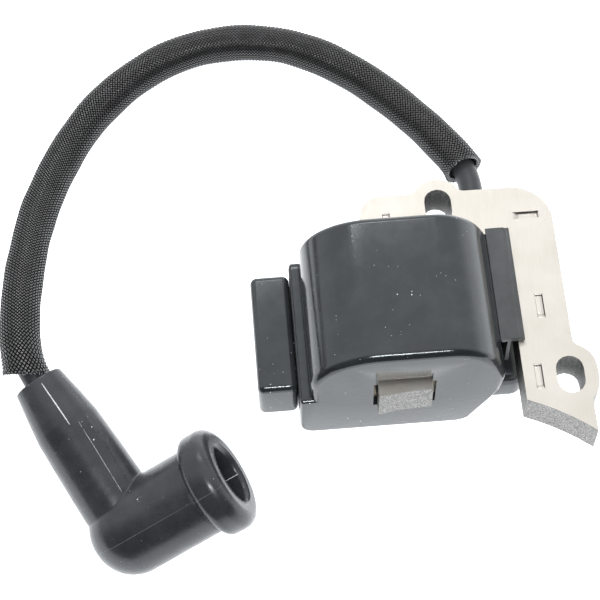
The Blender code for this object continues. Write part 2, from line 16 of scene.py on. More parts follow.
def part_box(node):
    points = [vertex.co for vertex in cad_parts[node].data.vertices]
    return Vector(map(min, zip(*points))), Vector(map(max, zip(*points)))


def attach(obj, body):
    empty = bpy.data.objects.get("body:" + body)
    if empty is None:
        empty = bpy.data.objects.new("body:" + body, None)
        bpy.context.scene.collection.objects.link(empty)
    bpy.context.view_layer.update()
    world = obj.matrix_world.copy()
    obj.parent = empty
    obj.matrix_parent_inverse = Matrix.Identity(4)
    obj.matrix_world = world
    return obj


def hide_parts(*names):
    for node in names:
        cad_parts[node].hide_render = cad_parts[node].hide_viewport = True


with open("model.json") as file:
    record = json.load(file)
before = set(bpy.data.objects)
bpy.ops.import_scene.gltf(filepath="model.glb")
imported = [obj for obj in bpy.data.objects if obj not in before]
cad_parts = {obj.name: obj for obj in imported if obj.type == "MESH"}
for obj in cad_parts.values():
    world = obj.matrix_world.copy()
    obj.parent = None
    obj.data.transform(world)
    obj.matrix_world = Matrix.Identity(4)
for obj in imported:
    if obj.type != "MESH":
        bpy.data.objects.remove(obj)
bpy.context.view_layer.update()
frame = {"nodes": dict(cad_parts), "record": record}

MM = 0.001
DRAW = random.Random(7)

# Core and case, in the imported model's places.
CORE_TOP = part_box("core_lamination_16")[1][2]
CASE_Y = (-16.3 * MM, 15.0 * MM)
CASE_WALL = 1.8 * MM
CASE_TOP = 30.6 * MM
CASE_LEFT = -25.0 * MM
CASE_FILLET = 1.65 * MM
CROWN_LEFT = -22.8 * MM
CROWN_RIGHT = 15.1 * MM
LEDGE_Z = 14.2 * MM
LEG_X = (-9.8 * MM, 0.7 * MM)
LEG_WINDOW = (12.1 * MM, 8.9 * MM)
CORE_MID_Z = 15.3 * MM
LEAD_X = 15.2 * MM
LEAD_Z = 5.5 * MM
TOWER = ((10.6 * MM, 20.2 * MM), (-12.6 * MM, 9.0 * MM), (0.9 * MM, 9.7 * MM))
TOWER_ROUNDING = 2.6 * MM
TOWER_BORE = 2.9 * MM
BOX = ((-32.9 * MM, -25.05 * MM), (-12.9 * MM, 12.9 * MM), (2.5 * MM, 13.6 * MM))
BOX_WALL = 1.2 * MM
BOX_ROUNDING = 1.4 * MM
TERMINAL_SLOT = ((-30.4 * MM, -26.8 * MM), (4.2 * MM, 5.6 * MM))
PASSAGE_Y = (-6.0 * MM, 6.0 * MM)
PASSAGE_Z = (4.0 * MM, 10.0 * MM)

# Interlock punches in the top sheet: (x, y, turned by 90 degrees).
PUNCH_LENGTH = 5.3 * MM
PUNCH_WIDTH = 1.55 * MM
PUNCH_DEPTH = 0.44 * MM
PUNCH_SLOPES = (1.3 * MM, 0.5 * MM)  # the lengths of a strip's two sloping ends
PUNCHES = [(23.55, 19.2, False), (23.55, -1.6, True), (21.3, -16.8, True), (-4.55, 19.3, True)]

# Boot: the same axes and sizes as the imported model.
ELBOW = Vector((-58.3, -37.52, 8.85)) * MM
ARM = Vector((-0.496, 0.823, 0.276)).normalized()
BARREL = Vector((0.871, 0.275, 0.407)).normalized()
ARM_TOP = Vector((-0.0926, -0.3663, 0.9259))  # the mould's parting runs on this side
BARREL_TOP = Vector((-0.2118, -0.5374, 0.8162))
ARM_LENGTH = 34.0 * MM
ARM_PROFILE = [  # (radius, height) in millimetres, from the elbow up
    (7.15, 0.0), (7.15, 7.0), (6.85, 17.0), (6.55, 23.8), (6.25, 25.8), (5.6, 30.0), (4.95, 34.0),
]
ARM_BORE = 2.85 * MM
BARREL_RADIUS = 8.6 * MM
HEEL_LENGTH = 8.5 * MM
HEEL_ROUNDING = 8.0 * MM
MOUTH_LENGTH = 22.2 * MM
LIP_START = MOUTH_LENGTH - 6.3 * MM
LIP_RADIUS = 10.4 * MM
LIP_BACK_ROUNDING = 1.7 * MM
LIP_FRONT_ROUNDING = 2.6 * MM
MOUTH_RADIUS = 5.7 * MM
MOUTH_DEPTH = 24.0 * MM
PANEL = (22.5 * MM, 6.5 * MM)  # along the arm, from the neck to the elbow
PANEL_MIDDLE = (38.0, 30.0)  # degrees round the arm, at the neck and at the elbow
PANEL_HALF_WIDTH = (10.0, 8.0)  # degrees, at the neck and at the elbow
PANEL_RAISE = 0.12 * MM
ARM_RING_PITCH = 0.7 * MM
NECK_RIDGE = (32.6 * MM, 22.8 * MM)
NECK_TURN = 13.0  # degrees round the arm
PARTING_TURN = 3.5  # degrees round the barrel
MOUTH_SEAM_TURN = 169.0

# Lead and sleeve.
LEAD_RADIUS = 2.5 * MM
SLEEVE_RADIUS = 4.0 * MM
SLEEVE_WALL = 0.9 * MM
LEAD_START = Vector((15.2, -6.6, 5.5)) * MM
LEAD_ROUTE = [
    (15.2, 12.0, 5.5), (15.2, 22.0, 5.2), (15.4, 31.0, 4.6), (14.4, 40.3, 4.2),
    (8.3, 50.4, 4.1), (0.5, 59.9, 4.1), (-7.2, 67.3, 4.1), (-14.7, 72.6, 4.1),
    (-22.2, 75.9, 4.1), (-29.9, 77.3, 4.1), (-37.7, 77.0, 4.1), (-45.6, 75.0, 4.1),
    (-52.8, 71.1, 4.1), (-59.1, 66.1, 4.1), (-64.6, 59.9, 4.3), (-69.2, 52.4, 4.9),
    (-72.8, 44.0, 6.3), (-75.5, 34.9, 8.7), (-77.1, 25.6, 11.7), (-78.1, 16.5, 14.5),
    (-78.6, 7.3, 17.0), (-78.4, -1.1, 18.6),
]
SLEEVE_START = 4  # the route point where the sleeve begins
ROUTE_POINTS_PAST_SLEEVE = 2
LOOSE_END = (-0.9 * MM, -0.25 * MM, 0.1 * MM)  # how far the sleeve hangs aside at the boot
LOOSE_ROWS = 36  # rows of braid samples over which it moves aside
CUT_NORMAL = (0.0, -0.883, -0.469)  # the direction that the sleeve's cut end faces
CUT_ROWS = 40  # rows over which the braid turns to meet that cut
POINTS_PER_SPAN = 12

# Braid: diamonds round the sleeve, and samples across one diamond.
BRAID_AROUND = 32
BRAID_SAMPLES = 4
BRAID_RELIEF = 0.21 * MM

# Camera: its place, the way it looks, its roll in degrees and its lens in millimetres.
CAMERA_PLACE = (-0.03374, -0.17192, 0.34947)
CAMERA_LOOK = Vector((0.02788, 0.46927, -0.8826))
CAMERA_ROLL = -1.27
CAMERA_LENS = 114.0

# Light: softboxes as (name, place, size, watts).
SOFTBOXES = [
    ("ceiling_box", (-0.03, -0.46, 0.88), (0.3, 0.09), 6.0),
    ("back_box", (-0.1, 0.75, 0.9), (0.5, 0.12), 2.0),
]
# The room's brightness by height, on the right and on the left.
SKY_RIGHT = [(0.02, 0.95), (0.25, 0.78), (0.4, 0.54), (0.62, 0.54), (0.8, 0.62), (1.0, 0.58)]
SKY_LEFT = [(0.04, 0.1), (0.11, 0.62), (0.3, 0.56), (0.6, 0.54), (0.8, 0.58), (1.0, 0.58)]
SKY_STRENGTH = 2.5
FRONT_LIGHT = 0.05  # what is left of the sky's light in front
FLOOR_REACH = (-0.42, 1.6, -0.11, 1.6)  # left, right, near and far edges
FLOOR_DROP = 0.3 * MM  # how far the floor lies under the part
FLOOR_GLOW = 1.2


# Camera ----------------------------------------------------------------------

def add_camera():
    data = bpy.data.cameras.new("camera")
    data.lens = CAMERA_LENS
    data.sensor_width = 36.0
    data.clip_start, data.clip_end = 0.01, 20.0
    camera = bpy.data.objects.new("camera", data)
    bpy.context.scene.collection.objects.link(camera)
    camera.location = CAMERA_PLACE
    roll = Quaternion((0, 0, 1), math.radians(CAMERA_ROLL))
    camera.rotation_mode = "QUATERNION"
    camera.rotation_quaternion = CAMERA_LOOK.to_track_quat("-Z", "Y") @ roll
    bpy.context.scene.camera = camera


# Material helpers ------------------------------------------------------------

def new_material(name, colour, roughness, metallic=0.0, **sockets):
    made = bpy.data.materials.new(name)
    made.use_nodes = True
    shader = made.node_tree.nodes["Principled BSDF"]
    shader.inputs["Base Color"].default_value = (*colour, 1.0)
    shader.inputs["Roughness"].default_value = roughness
    shader.inputs["Metallic"].default_value = metallic
    for socket, value in sockets.items():
        shader.inputs[socket.replace("_", " ")].default_value = value
    return made


def put(tree, kind, inputs=None, **settings):
    """A node whose inputs are values or other nodes' outputs."""
    made = tree.nodes.new("ShaderNode" + kind)
    for key, value in settings.items():
        setattr(made, key, value)
    for key, value in (inputs or {}).items():
        if isinstance(value, bpy.types.NodeSocket):
            tree.links.new(value, made.inputs[key])
        else:
            made.inputs[key].default_value = value
    return made


def maths(tree, operation, *values):
    return put(tree, "Math", dict(enumerate(values)), operation=operation).outputs[0]


def noise(tree, coords, size, detail=3.0, roughness=0.5):
    """Soft noise from 0 to 1 whose blobs have about this size."""
    inputs = {"Vector": coords, "Scale": 1 / size, "Detail": detail, "Roughness": roughness}
    return put(tree, "TexNoise", inputs).outputs["Fac"]


def ranged(tree, value, low, high, to_low, to_high):
    inputs = {"Value": value, "From Min": low, "From Max": high, "To Min": to_low, "To Max": to_high}
    return put(tree, "MapRange", inputs).outputs["Result"]


def mixed(tree, factor, first, second):
    """A colour between two, each a colour or a socket."""
    made = put(tree, "Mix", data_type="RGBA")
    for index, value in ((0, factor), (6, first), (7, second)):
        if isinstance(value, bpy.types.NodeSocket):
            tree.links.new(value, made.inputs[index])
        else:
            made.inputs[index].default_value = value if index == 0 else (*value, 1.0)
    return made.outputs[2]


def dots(tree, coords, spacing, radius, share):
    """Scattered round dots: 1 inside a dot, 0 outside, in this share of the cells."""
    cells = put(tree, "TexVoronoi", {"Vector": coords, "Scale": 1 / spacing})
    near = maths(tree, "LESS_THAN", cells.outputs["Distance"], radius / spacing)
    chance = put(tree, "SeparateColor", {"Color": cells.outputs["Color"]}).outputs[0]
    return maths(tree, "MULTIPLY", near, maths(tree, "LESS_THAN", chance, share))


def object_coords(tree):
    return put(tree, "TexCoord").outputs["Object"]


def bump(tree, height, distance):
    return put(tree, "Bump", {"Height": height, "Distance": distance}).outputs["Normal"]


def link(made, socket, value):
    made.node_tree.links.new(value, made.node_tree.nodes["Principled BSDF"].inputs[socket])


def moulded(name, colour, roughness, grain=0.02 * MM, dust=0.3, scuffs=0.5, flow=0.0, **sockets):
    """Moulded black plastic or rubber: faint clouding, flow lines along Y, dust specks and scuffs."""
    made = new_material(name, colour, roughness, **sockets)
    tree = made.node_tree
    coords = object_coords(tree)
    cloud = noise(tree, coords, 6 * MM, 5.0, 0.6)
    fine = noise(tree, coords, 0.35 * MM, 2.0)
    lighter = tuple(min(1.0, part * 1.7) for part in colour)
    tone = mixed(tree, ranged(tree, cloud, 0.4, 0.75, 0.0, 1.0), colour, lighter)
    large_specks = dots(tree, coords, 2.6 * MM, 0.12 * MM, dust)
    small_specks = dots(tree, coords, 0.9 * MM, 0.06 * MM, dust)
    speck = maths(tree, "MAXIMUM", large_specks, small_specks)
    tone = mixed(tree, speck, tone, (0.75, 0.76, 0.77))
    link(made, "Base Color", tone)
    smear = noise(tree, coords, 2.6 * MM, 5.0, 0.65)
    smoothest = roughness * (1 - 0.3 * scuffs)
    roughest = roughness * (1 + 0.5 * scuffs)
    rough = ranged(tree, smear, 0.35, 0.7, smoothest, roughest)
    link(made, "Roughness", maths(tree, "MAXIMUM", rough, maths(tree, "MULTIPLY", speck, 0.8)))
    height = maths(tree, "ADD", fine, maths(tree, "MULTIPLY", speck, 1.5))
    if flow:
        stretch = {"Vector": coords, "Scale": (1.0, 0.04, 1.0)}
        flow_lines = noise(tree, put(tree, "Mapping", stretch).outputs["Vector"], 1.1 * MM, 3.0)
        height = maths(tree, "ADD", height, maths(tree, "MULTIPLY", flow_lines, flow))
    link(made, "Normal", bump(tree, height, grain))
    return made


def core_steel():
    """Plated sheet: a pale satin face, and darker sheared edges with torn grain, with painted shade on the
    edges inside holes.
    """
    made = new_material("core_steel_look", (0.5, 0.475, 0.435), 0.42, 1.0)
    tree = made.node_tree
    coords = object_coords(tree)
    facing = put(tree, "SeparateXYZ", {"Vector": put(tree, "TexCoord").outputs["Normal"]}).outputs["Z"]
    edge = ranged(tree, maths(tree, "ABSOLUTE", facing), 0.5, 0.8, 1.0, 0.0)
    rolled = put(tree, "Mapping", {"Vector": coords, "Scale": (1.0, 0.08, 1.0)}).outputs["Vector"]
    grain = noise(tree, rolled, 0.35 * MM, 3.0)
    cloud = noise(tree, coords, 7 * MM, 3.0)
    torn = noise(tree, coords, 0.3 * MM, 2.0, 0.7)
    clouded = ranged(tree, cloud, 0.3, 0.7, 0.0, 1.0)
    face_tone = mixed(tree, clouded, (0.476, 0.454, 0.412), (0.519, 0.496, 0.458))
    flaked = ranged(tree, torn, 0.4, 0.62, 0.0, 1.0)
    edge_tone = mixed(tree, flaked, (0.11, 0.11, 0.108), (0.34, 0.335, 0.325))
    # Painted shade: edges deep in holes and slots are darkened towards near-black by ambient occlusion,
    # where little light reaches.
    painted_shade_occlusion = put(tree, "AmbientOcclusion", {"Distance": 9 * MM}, samples=8).outputs["AO"]
    shaded = ranged(tree, painted_shade_occlusion, 0.25, 0.6, 0.0, 1.0)
    edge_tone = mixed(tree, shaded, (0.035, 0.035, 0.035), edge_tone)
    link(made, "Base Color", mixed(tree, edge, face_tone, edge_tone))
    face_rough = ranged(tree, grain, 0.3, 0.7, 0.36, 0.48)
    edge_rough = maths(tree, "MULTIPLY", edge, 0.1)
    link(made, "Roughness", maths(tree, "ADD", face_rough, edge_rough))
    relief = mixed(tree, edge, (0.35, 0.35, 0.35), (0, 0, 0))
    face_relief = maths(tree, "MULTIPLY", grain, put(tree, "RGBToBW", {"Color": relief}).outputs[0])
    height = maths(tree, "ADD", face_relief, maths(tree, "MULTIPLY", torn, edge))
    link(made, "Normal", bump(tree, height, 0.05 * MM))
    return made


def braid_material():
    """Glossy monofilament: strands that change direction from one diamond to the next, with painted shade
    in the grooves between diamonds.
    """
    made = new_material("braid_look", (0.012, 0.012, 0.013), 0.26)
    tree = made.node_tree
    weave = put(tree, "UVMap", uv_map="weave").outputs["UV"]
    parts = put(tree, "SeparateXYZ", {"Vector": weave})
    u, v = parts.outputs["X"], parts.outputs["Y"]
    a = maths(tree, "ADD", u, v)
    b = maths(tree, "SUBTRACT", u, v)
    cell = maths(tree, "ADD", maths(tree, "FLOOR", a), maths(tree, "FLOOR", b))
    odd = maths(tree, "FLOORED_MODULO", cell, 2.0)
    across = put(tree, "Mix", {0: odd, 2: a, 3: b}, data_type="FLOAT").outputs[0]
    strands = maths(tree, "SINE", maths(tree, "MULTIPLY", across, 2 * math.tau))
    ridge_a = maths(tree, "COSINE", maths(tree, "MULTIPLY", a, math.tau))
    ridge_b = maths(tree, "COSINE", maths(tree, "MULTIPLY", b, math.tau))
    # Painted shade: along the grooves between diamonds the colour goes near-black and the reflection nearly
    # off.
    painted_groove_shade = ranged(tree, maths(tree, "MAXIMUM", ridge_a, ridge_b), -0.1, 0.7, 0.0, 1.0)
    coords = object_coords(tree)
    cloud = noise(tree, coords, 3.0 * MM, 4.0, 0.6)
    clouded = ranged(tree, cloud, 0.35, 0.75, 0.0, 1.0)
    tone = mixed(tree, clouded, (0.012, 0.0127, 0.0135), (0.04, 0.042, 0.045))
    link(made, "Base Color", mixed(tree, painted_groove_shade, tone, (0.001, 0.001, 0.001)))
    link(made, "Roughness", ranged(tree, painted_groove_shade, 0.0, 1.0, 0.26, 0.8))
    link(made, "Specular IOR Level", ranged(tree, painted_groove_shade, 0.0, 1.0, 1.0, 0.05))
    link(made, "Normal", bump(tree, strands, 0.006 * MM))
    return made


def metal(name, colour, roughness, streak=0.4 * MM):
    """Plain drawn or rolled metal with fine streaks and slight tarnish."""
    made = new_material(name, colour, roughness, 1.0)
    tree = made.node_tree
    coords = object_coords(tree)
    cloud = noise(tree, coords, 3 * MM, 4.0)
    fine = noise(tree, coords, streak, 3.0)
    dull = tuple(part * 0.6 for part in colour)
    link(made, "Base Color", mixed(tree, ranged(tree, cloud, 0.4, 0.75, 0.0, 1.0), colour, dull))
    link(made, "Roughness", ranged(tree, fine, 0.3, 0.7, roughness * 0.8, roughness * 1.3))
    link(made, "Normal", bump(tree, fine, 0.01 * MM))
    return made


def plain_look(name, colour, roughness):
    """A plain clouded finish, for the inner pieces, the ridges and the loose filaments."""
    made = new_material(name, colour, roughness)
    tree = made.node_tree
    coords = object_coords(tree)
    cloud = noise(tree, coords, 2 * MM, 4.0)
    darker = tuple(part * 0.7 for part in colour)
    link(made, "Base Color", mixed(tree, ranged(tree, cloud, 0.35, 0.7, 0.0, 1.0), colour, darker))
    link(made, "Normal", bump(tree, noise(tree, coords, 0.2 * MM), 0.01 * MM))
    return made


COOL = {"Specular_Tint": (0.94, 1.0, 1.05, 1.0)}  # faintly blue reflections
CASE_BLACK = (0.016, 0.018, 0.0195)
LOOKS = {
    "core_steel": core_steel(),
    "case_plastic": moulded("case_look", CASE_BLACK, 0.16, 0.01 * MM, 0.16, 0.5, 2.0, **COOL),
    "module_plastic": moulded("module_look", CASE_BLACK, 0.17, 0.01 * MM, 0.4, 0.6, 1.0, **COOL),
    "wedge_plastic": moulded("wedge_look", (0.03, 0.031, 0.032), 0.34, 0.015 * MM, 0.1, 0.5, 1.0, **COOL),
    "lead_rubber": moulded(
        "lead_look", (0.026, 0.027, 0.03), 0.4, 0.01 * MM, 0.1, 0.4, Specular_IOR_Level=0.3,
    ),
    "boot_rubber": moulded(
        "boot_look", (0.0215, 0.0225, 0.026), 0.27, 0.015 * MM, 0.2, 0.5, Specular_IOR_Level=0.38, **COOL,
    ),
    "braid_fray": plain_look("fray_look", (0.22, 0.23, 0.24), 0.4),
    # Painted highlight: this pale grey on the neck ridge, the panel ridge and the mouth seam stands in for
    # the glint these crests catch.
    "painted_highlight_ridge": plain_look("ridge_look", (0.7, 0.71, 0.72), 0.3),
    "faint_ridge": plain_look("faint_ridge_look", (0.11, 0.115, 0.12), 0.4),
    "seal_rubber": moulded("seal_look", (0.025, 0.025, 0.026), 0.5),
    "braid": braid_material(),
    "copper": metal("copper_look", (0.72, 0.33, 0.17), 0.3),
    "brass": metal("brass_look", (0.8, 0.6, 0.3), 0.3),
    "spring_steel": metal("spring_look", (0.5, 0.5, 0.5), 0.35, 0.15 * MM),
    "bobbin_plastic": plain_look("bobbin_look", (0.75, 0.7, 0.55), 0.5),
    "resin": plain_look("resin_look", (0.05, 0.05, 0.045), 0.4),
    "board": plain_look("board_look", (0.03, 0.22, 0.09), 0.5),
    "film": plain_look("film_look", (0.55, 0.1, 0.06), 0.4),
    "chip": plain_look("chip_look", (0.03, 0.03, 0.03), 0.6),
    "resistor": plain_look("resistor_look", (0.62, 0.5, 0.34), 0.5),
}


def dress(made, slot):
    made.data.materials.clear()
    made.data.materials.append(LOOKS[slot])


# Mesh helpers ----------------------------------------------------------------

def add_object(name, data, slot, body):
    """A piece that rides on a body and takes its finish from a slot."""
    made = bpy.data.objects.new(name, data)
    bpy.context.scene.collection.objects.link(made)
    dress(made, slot)
    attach(made, body)
    return made


def smooth_curve(points, per_span):
    """A Catmull-Rom curve through the points, sampled evenly in each span."""
    ends = [points[0] * 2 - points[1], *points, points[-1] * 2 - points[-2]]
    out = []
    for i in range(1, len(ends) - 2):
        a, b, c, d = ends[i - 1 : i + 3]
        for step in range(per_span):
            t = step / per_span
            out.append(
                0.5 * (2 * b + (c - a) * t + (2 * a - 5 * b + 4 * c - d) * t * t
                       + (3 * b - a - 3 * c + d) * t * t * t)
            )
    return [*out, points[-1]]


def resampled(line, count):
    """The same line with this many points, evenly spaced."""
    line = np.array(line)
    steps = np.linalg.norm(np.diff(line, axis=0), axis=1)
    along = np.concatenate([[0], np.cumsum(steps)])
    wanted = np.linspace(0, along[-1], count)
    return np.stack([np.interp(wanted, along, line[:, axis]) for axis in range(3)], axis=1)


def line_length(line):
    return sum((b - a).length for a, b in zip(line, line[1:]))


def ring_frames(line):
    """Two unit vectors across the line at each point, without twist."""
    tangents = np.gradient(line, axis=0)
    tangents /= np.linalg.norm(tangents, axis=1)[:, None]
    side = np.cross(tangents[0], (0, 0, 1))
    sides = []
    for tangent in tangents:
        side = side - tangent * (side @ tangent)
        side /= np.linalg.norm(side)
        sides.append(side)
    sides = np.array(sides)
    return sides, np.cross(tangents, sides)


def rounded_wedge():
    """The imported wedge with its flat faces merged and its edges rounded."""
    data = frame["nodes"]["core_wedge"].data.copy()
    shape = bmesh.new()
    shape.from_mesh(data)
    bmesh.ops.remove_doubles(shape, verts=shape.verts, dist=0.001 * MM)
    bmesh.ops.dissolve_limit(shape, angle_limit=math.radians(1.0), verts=shape.verts, edges=shape.edges)
    shape.to_mesh(data)
    shape.free()
    data.name = "wedge"
    wedge = add_object("wedge", smooth_shaded(data, 50.0), "wedge_plastic", "coil")
    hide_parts("core_wedge")
    rounding = wedge.modifiers.new("rounding", "BEVEL")
    rounding.width = 0.3 * MM
    rounding.segments = 3
    rounding.limit_method = "ANGLE"
    rounding.angle_limit = math.radians(35.0)
    rounding.harden_normals = True


def turned(profile, steps, origin, direction):
    """Mesh of a profile of (radius, height) points turned round a direction."""
    turn = Vector(direction).to_track_quat("Z", "Y").to_matrix().to_4x4()
    place = Matrix.Translation(origin) @ turn
    shape = bmesh.new()
    rings = []
    for radius, height in profile:
        if radius == 0:
            rings.append([shape.verts.new(place @ Vector((0, 0, height)))] * steps)
            continue
        ring = []
        for step in range(steps):
            angle = math.tau * step / steps
            point = Vector((radius * math.cos(angle), radius * math.sin(angle), height))
            ring.append(shape.verts.new(place @ point))
        rings.append(ring)
    for low, high in zip(rings, rings[1:]):
        for step in range(steps):
            after = (step + 1) % steps
            corners = [low[step], low[after], high[after], high[step]]
            shape.faces.new(list(dict.fromkeys(corners)))  # a point on the axis counts once
    bmesh.ops.recalc_face_normals(shape, faces=shape.faces)
    data = bpy.data.meshes.new("turned")
    shape.to_mesh(data)
    shape.free()
    return data


def arc_points(centre, radius, start, end, steps):
    """(radius, height) points round a centre, angles in degrees."""
    points = []
    for step in range(steps + 1):
        angle = math.radians(start + (end - start) * step / steps)
        points.append((centre[0] + radius * math.cos(angle), centre[1] + radius * math.sin(angle)))
    return points


def merged(name, base, others, operation="UNION"):
    """The mesh of a base combined with other meshes, one after another."""
    target = bpy.data.objects.new(name, base)
    bpy.context.scene.collection.objects.link(target)
    helpers = []
    for data in others:
        helper = bpy.data.objects.new(name + "_helper", data)
        bpy.context.scene.collection.objects.link(helper)
        helpers.append(helper)
        step = target.modifiers.new("combine", "BOOLEAN")
        step.operation = operation
        step.solver = "EXACT"
        step.object = helper
    graph = bpy.context.evaluated_depsgraph_get()
    graph.update()
    made = bpy.data.meshes.new_from_object(target.evaluated_get(graph))
    for unused in (target, *helpers):
        bpy.data.objects.remove(unused)
    return made


def box_data(x, y, z, rounding=0.0):
    """Mesh of a box between two limits on each axis, with rounded edges if wanted."""
    size = Vector((x[1] - x[0], y[1] - y[0], z[1] - z[0]))
    centre = Vector((x[0] + x[1], y[0] + y[1], z[0] + z[1])) / 2
    place = Matrix.Translation(centre) @ Matrix.Diagonal(size).to_4x4()
    shape = bmesh.new()
    bmesh.ops.create_cube(shape, size=1.0, matrix=place)
    if rounding:
        bmesh.ops.bevel(
            shape, geom=shape.edges, offset=rounding, segments=8, profile=0.5, affect="EDGES",
        )
    data = bpy.data.meshes.new("box")
    shape.to_mesh(data)
    shape.free()
    return data


def prism_data(outline, y):
    """Mesh of an outline in X and Z, extruded from one Y to another."""
    shape = bmesh.new()
    rings = [[shape.verts.new((px, end, pz)) for px, pz in outline] for end in y]
    shape.faces.new(rings[0])
    shape.faces.new(rings[1][::-1])
    for index in range(len(outline)):
        after = (index + 1) % len(outline)
        shape.faces.new([rings[0][after], rings[0][index], rings[1][index], rings[1][after]])
    bmesh.ops.recalc_face_normals(shape, faces=shape.faces)
    data = bpy.data.meshes.new("prism")
    shape.to_mesh(data)
    shape.free()
    return data


def smooth_shaded(data, angle=35.0):
    data.shade_smooth()
    data.set_sharp_from_angle(angle=math.radians(angle))
    return data


def thread(name, lines, radius, slot, body, taper=True):
    """Fine round beads of material along one or more lines, thinner towards their ends."""
    data = bpy.data.curves.new(name, "CURVE")
    data.dimensions = "3D"
    data.bevel_depth = radius
    data.bevel_resolution = 2
    data.use_fill_caps = True
    for line in lines:
        spline = data.splines.new("POLY")
        spline.points.add(len(line) - 1)
        for index, (point, place) in enumerate(zip(spline.points, line)):
            point.co = (*place, 1)
            if taper:
                point.radius = 0.35 + 0.65 * math.sin(math.pi * index / (len(line) - 1)) ** 0.4
        spline.use_smooth = True
    return add_object(name, data, slot, body)


# Coil case and module --------------------------------------------------------

def ellipse_arc(centre, radii, start, end, steps):
    """Points along an ellipse, angles in degrees."""
    points = arc_points((0, 0), 1.0, start, end, steps)
    return [(centre[0] + radii[0] * x, centre[1] + radii[1] * y) for x, y in points]


def crown_outline(inset, steps):
    """The crown, from its left foot over the top to its right side, as two quarter ellipses."""
    left, right = (-9.0 * MM, 19.5 * MM), (3.5 * MM, 17.0 * MM)  # the ellipses' centres
    left_radii = (left[0] - CROWN_LEFT - inset, CASE_TOP - left[1] - inset)
    right_radii = (CROWN_RIGHT - right[0] - inset, CASE_TOP - right[1] - inset)
    return ellipse_arc(left, left_radii, 180, 90, steps) + ellipse_arc(right, right_radii, 90, 0, steps)


def case_outline(inset=0.0):
    """The case's outer section in X and Z, drawn in by this much at the crown and less below it."""
    below = inset * 0.35
    foot, edge = 3.0 * MM, 0.7 * MM
    outline = [(6.3 * MM, below)]
    outline += arc_points((CASE_LEFT + foot, foot), foot - below, 270, 180, 10)
    outline += arc_points((CASE_LEFT + edge, LEDGE_Z - edge), edge - below, 180, 90, 5)
    outline += [(CROWN_LEFT + inset, LEDGE_Z - below)]
    outline += crown_outline(inset, 40)
    outline += [(14.6 * MM - inset * 0.8, 13.2 * MM), (13.3 * MM - inset * 0.6, 10.2 * MM)]
    outline += [(9.0 * MM - below, 1.6 * MM), (8.1 * MM - below, 0.4 * MM + below)]
    return outline


def cavity_outline():
    """The section of the space inside the case, open below."""
    under = -1.0 * MM
    outline = [(5.0 * MM, under), (CROWN_LEFT + CASE_WALL, under)]
    outline += crown_outline(CASE_WALL, 10)
    outline += [(12.4 * MM, 12.4 * MM), (11.3 * MM, 10.2 * MM), (7.0 * MM, 1.6 * MM), (5.0 * MM, 0.6 * MM)]
    return outline


def case_body():
    """The case's solid form, with its two end edges rounded."""
    shape = bmesh.new()
    rings = []
    for end, inward in zip(CASE_Y, (1, -1)):
        steps = [math.radians(90 * step / 9) for step in range(10)]
        for turn in steps[::-1] if inward == 1 else steps:
            place = end + inward * CASE_FILLET * (1 - math.sin(turn))
            outline = case_outline(CASE_FILLET * (1 - math.cos(turn)))
            rings.append([shape.verts.new((x, place, z)) for x, z in outline])
    for first, second in zip(rings, rings[1:]):
        for index in range(len(first)):
            after = (index + 1) % len(first)
            shape.faces.new([first[after], first[index], second[index], second[after]])
    shape.faces.new(rings[0])
    shape.faces.new(rings[-1][::-1])
    bmesh.ops.recalc_face_normals(shape, faces=shape.faces)
    data = bpy.data.meshes.new("case_body")
    shape.to_mesh(data)
    shape.free()
    return data


def tip_pocket():
    """The dent in the case's front end over the leg's tip, deeper towards the tip."""
    front = CASE_Y[0]
    pocket = box_data(LEG_X, (front - 2 * MM, front - 0.2 * MM), (CORE_TOP - 1 * MM, CORE_TOP + 5.2 * MM))
    for vertex in pocket.vertices:
        if vertex.co.y > front - 1 * MM and vertex.co.z < CORE_TOP:
            vertex.co.y += 1.4 * MM
    return pocket


def case_shell():
    """The moulded shell: crown, ledge, tower, the leg's window and pocket, and the bores."""
    tower = box_data(*TOWER, TOWER_ROUNDING)
    solid = merged("case_solid", case_body(), [tower])
    cavity = prism_data(cavity_outline(), (CASE_Y[0] + CASE_WALL, CASE_Y[1] - CASE_WALL))
    middle = sum(LEG_X) / 2
    half_width, half_height = LEG_WINDOW[0] / 2, LEG_WINDOW[1] / 2
    window = box_data(
        (middle - half_width, middle + half_width), (-30 * MM, 30 * MM),
        (CORE_MID_Z - half_height, CORE_MID_Z + half_height),
    )
    bore_from, bore_to = -9 * MM, 10 * MM
    bore_profile = [(0, bore_from), (TOWER_BORE, bore_from), (TOWER_BORE, bore_to), (0, bore_to)]
    bore = turned(bore_profile, 48, (LEAD_X, 0, LEAD_Z), (0, 1, 0))
    passage = box_data((CASE_LEFT - 1 * MM, CROWN_LEFT + CASE_WALL + 1 * MM), PASSAGE_Y, PASSAGE_Z)
    cuts = [cavity, window, tip_pocket(), bore, passage]
    shell = merged("case_cut", solid, cuts, "DIFFERENCE")
    case = add_object("case_shell", smooth_shaded(shell), "case_plastic", "coil")
    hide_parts("coil_case")


def module_shell():
    """The long box on the case's side, open below, with its terminal's slot."""
    x, y, z = BOX
    body = box_data(x, y, z, BOX_ROUNDING)
    inside = [(low + BOX_WALL, high - BOX_WALL) for low, high in (x, y)]
    cavity = box_data(*inside, (z[0] - 1 * MM, z[1] - BOX_WALL))
    passage = box_data((x[1] - 2 * MM, x[1] + 1 * MM), PASSAGE_Y, PASSAGE_Z)
    slot = box_data(TERMINAL_SLOT[0], (y[1] - 3 * MM, y[1] + 1 * MM), TERMINAL_SLOT[1])
    shell = merged("module_cut", body, [cavity, passage, slot], "DIFFERENCE")
    module = add_object("module_shell", smooth_shaded(shell), "module_plastic", "coil")
    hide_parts("module_case")


